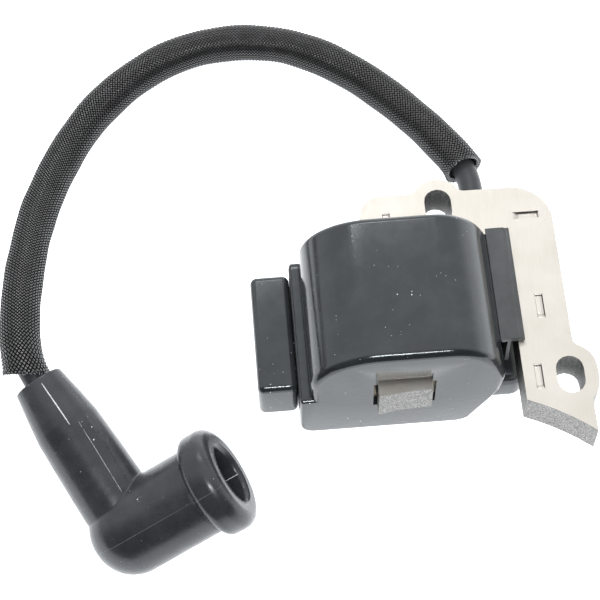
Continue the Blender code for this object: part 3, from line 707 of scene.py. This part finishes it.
def mould_flash():
    """Ragged beads of flash along the ledge's two edges."""
    first, pitch, count = CASE_Y[0] + 1.2 * MM, 0.33 * MM, 90
    outer_edge = (CASE_LEFT + 0.45 * MM, LEDGE_Z - 0.03 * MM)
    inner_edge = (CROWN_LEFT - 0.15 * MM, LEDGE_Z + 0.05 * MM)
    lines = []
    for x, z in (outer_edge, inner_edge):
        line = []
        for step in range(count):
            aside = DRAW.uniform(-0.05, 0.05) * MM
            above = DRAW.uniform(-0.03, 0.05) * MM
            line.append((x + aside, first + step * pitch, z + above))
        lines.append(line)
    thread("ledge_flash", lines, 0.1 * MM, "case_plastic", "coil", taper=False)


def interlock_tabs():
    """The pressed-down strips in the top sheet's four punches, with sloping ends."""
    steps, edge_width, edge_drop = 40, 0.15 * MM, 0.04 * MM
    half_length, half_width = PUNCH_LENGTH / 2, PUNCH_WIDTH / 2
    crossing = (-half_width, edge_width - half_width, 0, half_width - edge_width, half_width)
    for number, (x, y, turned_round) in enumerate(PUNCHES, 1):
        shape = bmesh.new()
        rows = []
        for step in range(steps + 1):
            along = PUNCH_LENGTH * step / steps - half_length
            slope = PUNCH_SLOPES[1] if along > 0 else PUNCH_SLOPES[0]
            share = min(1.0, (half_length - abs(along)) / slope)
            depth = PUNCH_DEPTH * (1 - math.cos(math.pi * share)) / 2 + 0.01 * MM
            row = []
            for across in crossing:
                drop = depth + (edge_drop if abs(across) == half_width else 0)
                dx, dy = (across, along) if turned_round else (along, across)
                row.append(shape.verts.new((x * MM + dx, y * MM + dy, CORE_TOP - drop)))
            rows.append(row)
        for low, high in zip(rows, rows[1:]):
            for a, b, c, d in zip(low, low[1:], high[1:], high):
                shape.faces.new([a, b, c, d])
        bmesh.ops.recalc_face_normals(shape, faces=shape.faces)
        if sum(face.normal.z for face in shape.faces) < 0:
            bmesh.ops.reverse_faces(shape, faces=shape.faces)
        data = bpy.data.meshes.new(f"interlock_tab_{number}")
        shape.to_mesh(data)
        shape.free()
        tab = add_object(data.name, smooth_shaded(data), "core_steel", "coil")
        wall = tab.modifiers.new("wall", "SOLIDIFY")
        wall.thickness = 0.06 * MM
        wall.offset = -1


# Lead and sleeve -------------------------------------------------------------

def lead_line():
    """The centre line, from inside the tower to inside the boot's arm."""
    arm_end = ELBOW + ARM * ARM_LENGTH
    route = [LEAD_START]
    route += [Vector(point) * MM for point in LEAD_ROUTE]
    route += [arm_end + ARM * 2.6 * MM, arm_end - ARM * 8 * MM, arm_end - ARM * 16 * MM]
    return smooth_curve(route, POINTS_PER_SPAN)


def high_tension_lead(line):
    data = bpy.data.curves.new("high_tension_lead", "CURVE")
    data.dimensions = "3D"
    data.bevel_depth = LEAD_RADIUS
    data.bevel_resolution = 6
    data.use_fill_caps = True
    spline = data.splines.new("POLY")
    spline.points.add(len(line) - 1)
    for point, place in zip(spline.points, line):
        point.co = (*place, 1)
    spline.use_smooth = True
    lead = add_object("high_tension_lead", data, "lead_rubber", "coil")
    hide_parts("ht_lead")
    return lead


def sleeve_rings(line):
    """The sleeve's centre line with frames, pushed aside where it hangs loose at the boot."""
    first = SLEEVE_START * POINTS_PER_SPAN
    last = len(line) - 1 - ROUTE_POINTS_PAST_SLEEVE * POINTS_PER_SPAN
    path = line[first : last + 1]
    cell = math.tau * SLEEVE_RADIUS / BRAID_AROUND
    rows = round(line_length(path) / cell) * BRAID_SAMPLES
    centre = resampled(path, rows + 1)
    share = np.linspace(0, 1, rows + 1)
    loose = np.clip(1 - (1 - share) * rows / LOOSE_ROWS, 0, 1) ** 1.5
    centre = centre + loose[:, None] * np.array(LOOSE_END)
    return centre, share, rows


def cut_square(rings, tangent):
    """Slides the last rings along the sleeve so that it ends in a plane."""
    normal = np.array(CUT_NORMAL)
    for offset in range(CUT_ROWS):
        ring = rings[-1 - offset]
        weight = (1 - offset / CUT_ROWS) ** 1.5
        along = ring @ normal
        ring += (weight * (along.mean() - along) / (tangent @ normal))[:, None] * tangent


def braided_sleeve(line):
    """A tube of braid whose strands stand up in diamonds, slightly kinked and flared."""
    centre, share, rows = sleeve_rings(line)
    columns = BRAID_AROUND * BRAID_SAMPLES
    sides, ups = ring_frames(centre)
    v, u = np.meshgrid(np.arange(rows + 1), np.arange(columns), indexing="ij")
    a = (u + v) / BRAID_SAMPLES
    b = (u - v) / BRAID_SAMPLES
    pillow = np.sqrt((1 - np.cos(math.tau * a)) * (1 - np.cos(math.tau * b))) / 2
    over = np.where((np.floor(a) + np.floor(b)) % 2 == 0, 1.0, 0.72)
    share = share[:, None]
    angle = math.tau * u / columns
    lumps = 0.05 * np.sin(angle * 2 + share * 61)
    lumps = lumps + 0.03 * np.sin(angle + share * 113) + 0.03 * np.sin(share * 37)
    tower_flare = 0.35 * np.exp(-share * rows / 9)
    boot_flare = 0.6 * np.exp(-(1 - share) * rows / 14)
    ridge = (1 + np.cos(math.tau * v / BRAID_SAMPLES)) / 2
    height = 0.75 * ridge + 0.25 * pillow * over
    swelling = (lumps + (tower_flare + boot_flare)) * MM
    radius = SLEEVE_RADIUS - BRAID_RELIEF + BRAID_RELIEF * height + swelling
    around = np.cos(angle)[..., None] * sides[:, None] + np.sin(angle)[..., None] * ups[:, None]
    outer = centre[:, None] + around * radius[..., None]
    inner = centre[:, None] + around * (radius - SLEEVE_WALL)[..., None]
    for shell in (outer, inner):
        cut_square(shell, centre[-1] - centre[-2])
    verts = np.concatenate([outer.reshape(-1, 3), inner.reshape(-1, 3)])
    wall = columns * (rows + 1)
    faces, weave = [], []
    for row in range(rows):
        for column in range(columns):
            after = (column + 1) % columns
            low, high = row * columns, (row + 1) * columns
            faces.append((low + column, low + after, high + after, high + column))
            weave += [(column, row), (column + 1, row), (column + 1, row + 1), (column, row + 1)]
            faces.append(tuple(wall + index for index in reversed(faces[-1])))
            weave += [(column, row)] * 4
    for row, flip in ((0, True), (rows, False)):
        for column in range(columns):
            after = (column + 1) % columns
            ring = [row * columns + column, row * columns + after]
            face = [ring[0], ring[1], ring[1] + wall, ring[0] + wall]
            faces.append(tuple(reversed(face)) if flip else tuple(face))
            weave += [(column, row)] * 4
    data = bpy.data.meshes.new("braided_sleeve")
    data.from_pydata(verts.tolist(), [], faces)
    layer = data.uv_layers.new(name="weave")
    layer.data.foreach_set("uv", (np.array(weave, np.float32) / BRAID_SAMPLES).ravel())
    data.shade_smooth()
    data.update()
    sleeve = add_object("braided_sleeve", data, "braid", "coil")
    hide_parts("ht_sleeve")
    return sleeve, outer, centre


def frayed_ends(outer, centre):
    """Loose filaments round the sleeve's two cut ends."""
    pieces = []
    columns_apart = 3
    for name, row, inward in (("tower_end_fray", 0, 1), ("boot_end_fray", -1, -1)):
        tangent = Vector(centre[row] - centre[row + inward]).normalized()
        middle = Vector(outer[row].mean(axis=0))
        lines = []
        for start in range(0, outer.shape[1], columns_apart):
            root = Vector(outer[row][start])
            out = (root - middle).normalized()
            root -= out * 0.15 * MM
            sideways = tangent.cross(out) * DRAW.uniform(-0.9, 0.9)
            reach = DRAW.uniform(0.15, 0.9) * MM
            onward = tangent * DRAW.uniform(0.2, 0.8)
            outward = out * DRAW.uniform(-0.2, 0.4)
            tip = root + (onward + outward + sideways) * reach
            bulge = (root + tip) / 2 + out * 0.05 * MM
            lines.append([root - tangent * 0.5 * MM, root, bulge, tip])
        pieces.append(thread(name, lines, 0.07 * MM, "braid_fray", "coil"))
    return pieces


# Boot ------------------------------------------------------------------------

def barrel_data():
    """The barrel with its round heel and the lip round its mouth."""
    back, front = LIP_BACK_ROUNDING, LIP_FRONT_ROUNDING
    heel_centre = (BARREL_RADIUS - HEEL_ROUNDING, HEEL_ROUNDING - HEEL_LENGTH)
    face = MOUTH_LENGTH - 0.05 * MM
    profile = [(0, -HEEL_LENGTH)]
    profile += arc_points(heel_centre, HEEL_ROUNDING, -90, 0, 20)
    profile += [(BARREL_RADIUS, LIP_START - 0.6 * MM), (BARREL_RADIUS - 0.2 * MM, LIP_START - 0.1 * MM)]
    profile += arc_points((LIP_RADIUS - back, LIP_START + back), back, -80, 0, 10)
    profile += arc_points((LIP_RADIUS - front, MOUTH_LENGTH - front), front, 0, 82, 14)
    profile += [(MOUTH_RADIUS + 0.8 * MM, face), (0, face)]
    return turned(profile, 120, ELBOW, BARREL)


def panel_at(share):
    """The panel's middle and half width in degrees, at a share of the way to the elbow."""
    middle = PANEL_MIDDLE[0] + (PANEL_MIDDLE[1] - PANEL_MIDDLE[0]) * share
    half_width = PANEL_HALF_WIDTH[0] + (PANEL_HALF_WIDTH[1] - PANEL_HALF_WIDTH[0]) * share
    return middle, half_width


def arm_data():
    """The arm, with the raised panel that runs from its neck to the elbow."""
    corners = [(radius * MM, height * MM) for radius, height in ARM_PROFILE]
    profile = [(0, 0)]
    for (r0, h0), (r1, h1) in zip(corners, corners[1:]):
        pieces = max(1, round((h1 - h0) / ARM_RING_PITCH))
        for step in range(pieces):
            share = step / pieces
            profile.append((r0 + (r1 - r0) * share, h0 + (h1 - h0) * share))
    profile += [corners[-1], (0, ARM_LENGTH)]
    data = turned(profile, 180, ELBOW, ARM)
    across = ARM.cross(ARM_TOP).normalized()
    neck, elbow = PANEL
    for vertex in data.vertices:
        place = vertex.co - ELBOW
        height = place.dot(ARM)
        radial = place - ARM * height
        if not elbow <= height <= neck:
            continue
        angle = math.degrees(math.atan2(radial.dot(across), radial.dot(ARM_TOP)))
        middle, half_width = panel_at((neck - height) / (neck - elbow))
        if abs(angle - middle) < half_width:
            vertex.co += radial.normalized() * PANEL_RAISE
    return data


def on_surface(axis, top, height, radius, angle):
    """A point on the boot, at a height along an axis and an angle from its top side."""
    turn = Quaternion(axis, math.radians(angle))
    return ELBOW + axis * height + (turn @ (top - axis * top.dot(axis)).normalized()) * radius


def on_arm(height, angle, raised=0.0):
    radii, heights = zip(*ARM_PROFILE)
    radius = float(np.interp(height, np.array(heights) * MM, np.array(radii) * MM))
    return on_surface(ARM, ARM_TOP, height, radius + raised, angle)


def on_barrel(height, radius, angle=PARTING_TURN):
    return on_surface(BARREL, BARREL_TOP, height, radius, angle)


def lip_radius(height):
    """The outer radius at a height on the lip."""
    back, front = LIP_BACK_ROUNDING, LIP_FRONT_ROUNDING
    rise = max(0.0, LIP_START + back - height) / back
    fall = max(0.0, height - MOUTH_LENGTH + front) / front
    back_drop = back * (1 - math.sqrt(max(0.0, 1 - rise ** 2)))
    front_drop = front * (1 - math.sqrt(max(0.0, 1 - fall ** 2)))
    return LIP_RADIUS - (back_drop + front_drop)


def arm_ridges():
    """The ridge on the arm's neck and the one along the panel's edge, both pale grey as a painted
    highlight.
    """
    neck = [on_arm(height, NECK_TURN) for height in np.linspace(*NECK_RIDGE, 24)]
    panel_edge = []
    for share in np.linspace(0, 1, 30):
        middle, half_width = panel_at(share)
        height = PANEL[0] + (PANEL[1] - PANEL[0]) * share
        panel_edge.append(on_arm(height, middle - half_width, 0.05 * MM))
    return [
        thread("neck_ridge", [neck], 0.13 * MM, "painted_highlight_ridge", "boot"),
        thread("panel_ridge", [panel_edge], 0.038 * MM, "painted_highlight_ridge", "boot"),
    ]


def barrel_parting():
    """The fine line that the mould's halves leave along the heel, the barrel and the lip."""
    heel = []
    for degrees in np.linspace(-70, 0, 16):
        angle = math.radians(degrees)
        radius = BARREL_RADIUS - HEEL_ROUNDING + HEEL_ROUNDING * math.cos(angle)
        height = HEEL_ROUNDING - HEEL_LENGTH + HEEL_ROUNDING * math.sin(angle)
        heel.append(on_barrel(height, radius))
    barrel = [on_barrel(height, BARREL_RADIUS) for height in np.linspace(-0.4 * MM, 15.4 * MM, 30)]
    lip_heights = np.linspace(LIP_START + 0.2 * MM, MOUTH_LENGTH - 0.1 * MM, 24)
    lip = [on_barrel(height, lip_radius(height)) for height in lip_heights]
    return thread("parting_ridges", [heel + barrel, lip], 0.05 * MM, "faint_ridge", "boot")


def mouth_details():
    """The seam inside the mouth, pale grey as a painted highlight, and the rims round the mouth and behind
    the lip.
    """
    seam_heights = np.linspace(17.0 * MM, MOUTH_LENGTH - 0.6 * MM, 12)
    in_mouth = [on_barrel(height, MOUTH_RADIUS - 0.02 * MM, MOUTH_SEAM_TURN) for height in seam_heights]
    seam = thread("mouth_seam", [in_mouth], 0.09 * MM, "painted_highlight_ridge", "boot")
    mouth_rim = (MOUTH_LENGTH - 0.08 * MM, MOUTH_RADIUS + 0.62 * MM)
    lip_rim = (LIP_START - 0.25 * MM, BARREL_RADIUS)
    rings = []
    for height, radius in (mouth_rim, lip_rim):
        rings.append([on_barrel(height, radius, turn) for turn in range(0, 361, 4)])
    rims = thread("mouth_rims", rings, 0.11 * MM, "boot_rubber", "boot", taper=False)
    return [seam, rims]


def ejector_ring():
    """The open ring that the mould's ejector pin leaves on the barrel."""
    height, turn, radius = 6.4 * MM, -33, 0.55 * MM
    centre = on_barrel(height, BARREL_RADIUS - 0.02 * MM, turn)
    outward = (centre - ELBOW - BARREL * height).normalized()
    side = outward.cross(BARREL)
    ring = []
    for angle in np.linspace(0.5, 0.5 + 0.7 * math.tau, 20):
        ring.append(centre + (BARREL * math.cos(angle) + side * math.sin(angle)) * radius)
    return thread("ejector_ring", [ring], 0.05 * MM, "faint_ridge", "boot")


def plug_boot():
    """The one-piece rubber boot: arm, barrel and lip, hollow from the mouth to the arm's end."""
    solid = merged("boot_solid", barrel_data(), [arm_data()])
    floor_of_bore = MOUTH_LENGTH - MOUTH_DEPTH
    beyond = MOUTH_LENGTH + 1 * MM
    mouth_profile = [
        (0, floor_of_bore), (MOUTH_RADIUS, floor_of_bore), (MOUTH_RADIUS, MOUTH_LENGTH - 0.8 * MM),
        (MOUTH_RADIUS + 0.5 * MM, MOUTH_LENGTH - 0.1 * MM), (MOUTH_RADIUS + 0.55 * MM, beyond), (0, beyond),
    ]
    mouth = turned(mouth_profile, 90, ELBOW, BARREL)
    above = ARM_LENGTH + 1 * MM
    bore = turned([(0, 0), (ARM_BORE, 0), (ARM_BORE, above), (0, above)], 48, ELBOW, ARM)
    hollow = merged("boot_hollow", solid, [mouth, bore], "DIFFERENCE")
    boot = add_object("spark_plug_boot", hollow, "boot_rubber", "boot")
    remesh = boot.modifiers.new("even_mesh", "REMESH")
    remesh.mode = "VOXEL"
    remesh.voxel_size = 0.2 * MM
    remesh.use_smooth_shade = True
    relax = boot.modifiers.new("relax", "SMOOTH")
    relax.factor = 0.5
    relax.iterations = 3
    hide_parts("plug_boot")
    return boot


# Stage -----------------------------------------------------------------------

def sky_ramp(tree, height, stops):
    """The sky's grey at a height, from (height, brightness) stops."""
    ramp = put(tree, "ValToRGB", {"Fac": height})
    elements = ramp.color_ramp.elements
    elements.remove(elements[-1])
    elements[0].position, first = stops[0]
    elements[0].color = (first, first, first, 1)
    for position, value in stops[1:]:
        elements.new(position).color = (value, value, value, 1)
    return ramp.outputs["Color"]


def studio():
    """A pale table in a light tent that is open to a dim room in front."""
    left, right, near, far = FLOOR_REACH
    data = bpy.data.meshes.new("floor")
    corners = [(left, near, 0), (right, near, 0), (right, far, 0), (left, far, 0)]
    data.from_pydata(corners, [], [(0, 1, 2, 3)])
    floor = bpy.data.objects.new("floor", data)
    floor.location.z = -FLOOR_DROP
    bpy.context.scene.collection.objects.link(floor)
    paper = new_material("floor_paper", (0.93, 0.93, 0.93), 0.9, Specular_IOR_Level=0.0)
    shader = paper.node_tree.nodes["Principled BSDF"]
    shader.inputs["Emission Color"].default_value = (0.96, 1.0, 1.04, 1.0)
    shader.inputs["Emission Strength"].default_value = FLOOR_GLOW
    data.materials.append(paper)

    world = bpy.data.worlds.new("studio")
    bpy.context.scene.world = world
    world.use_nodes = True
    tree = world.node_tree
    background = tree.nodes["Background"]
    toward = put(tree, "SeparateXYZ", {"Vector": put(tree, "TexCoord").outputs["Generated"]})
    x, y, z = (toward.outputs[axis] for axis in "XYZ")
    side = ranged(tree, x, -0.35, 0.2, 0.0, 1.0)
    room = mixed(tree, side, sky_ramp(tree, z, SKY_LEFT), sky_ramp(tree, z, SKY_RIGHT))
    dimmed = ranged(tree, y, -0.35, 0.05, FRONT_LIGHT, 1.0)
    room = mixed(tree, dimmed, (0, 0, 0), room)
    seen = put(tree, "LightPath").outputs["Is Camera Ray"]
    paper_white = tuple([1 / SKY_STRENGTH] * 3)
    tree.links.new(mixed(tree, seen, room, paper_white), background.inputs["Color"])
    background.inputs["Strength"].default_value = SKY_STRENGTH

    for name, place, size, power in SOFTBOXES:
        lamp = bpy.data.lights.new(name, "AREA")
        lamp.shape = "RECTANGLE"
        lamp.size, lamp.size_y = size
        lamp.energy = power
        light = bpy.data.objects.new(name, lamp)
        light.location = place
        light.rotation_mode = "QUATERNION"
        light.rotation_quaternion = (-Vector(place)).to_track_quat("-Z", "Y")
        bpy.context.scene.collection.objects.link(light)
    bpy.context.scene.view_settings.view_transform = "Standard"


# Assembly --------------------------------------------------------------------

add_camera()
centre_line = lead_line()
lead = high_tension_lead(centre_line)
sleeve, sleeve_outer, sleeve_centre = braided_sleeve(centre_line)
frays = frayed_ends(sleeve_outer, sleeve_centre)
boot = plug_boot()
ridges = [barrel_parting(), *arm_ridges(), *mouth_details(), ejector_ring()]

case_shell()
module_shell()
mould_flash()
interlock_tabs()
rounded_wedge()

slots = {part["node"]: part["material_slot"] for part in frame["record"]["subparts"]}
for node, shown in frame["nodes"].items():
    if not shown.hide_render:
        dress(shown, slots[node])

studio()
